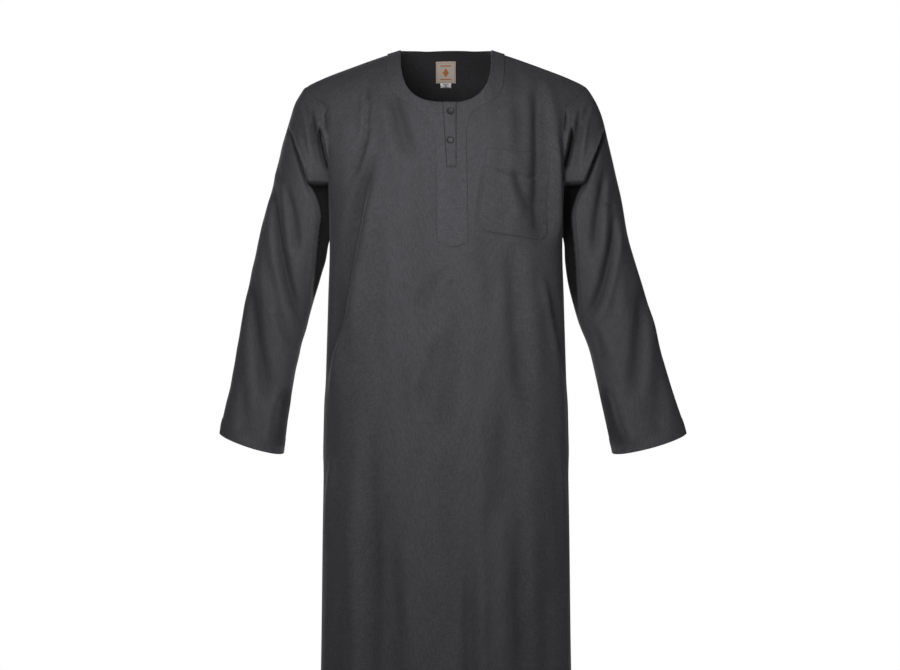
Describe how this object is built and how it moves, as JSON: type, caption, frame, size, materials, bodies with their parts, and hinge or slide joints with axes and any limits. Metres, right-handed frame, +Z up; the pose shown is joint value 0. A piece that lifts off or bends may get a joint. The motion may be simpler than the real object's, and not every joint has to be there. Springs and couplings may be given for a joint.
{
  "type": "thobe robe",
  "caption": "Ankle-length worn thobe in charcoal suiting, hollow, with a round faced neck, pointed button placket, patch chest pocket and long set-in sleeves.",
  "frame": {"origin": "midway between the two neck points, where the shoulder seams meet the neck and the wearer's shoulders carry the robe", "axes": "+Z up, front of the robe faces -Y, +X to the wearer's left (right of a viewer in front)"},
  "size_m": [0.7852, 0.305, 1.4222],
  "materials": {
    "suiting": "matte melange suiting",
    "facing": "matte melange suiting, pressed",
    "button": "satin",
    "label": "woven satin",
    "tab": "woven satin"
  },
  "bodies": {
    "root": {"front": "suiting", "back": "suiting", "sleeve_left": "suiting", "sleeve_right": "suiting", "neck_placket": "facing", "button_fly": "facing", "chest_pocket": "suiting", "button_1": "button", "button_2": "button", "neck_label": "label", "size_tab": "tab"}
  },
  "joints": []
}
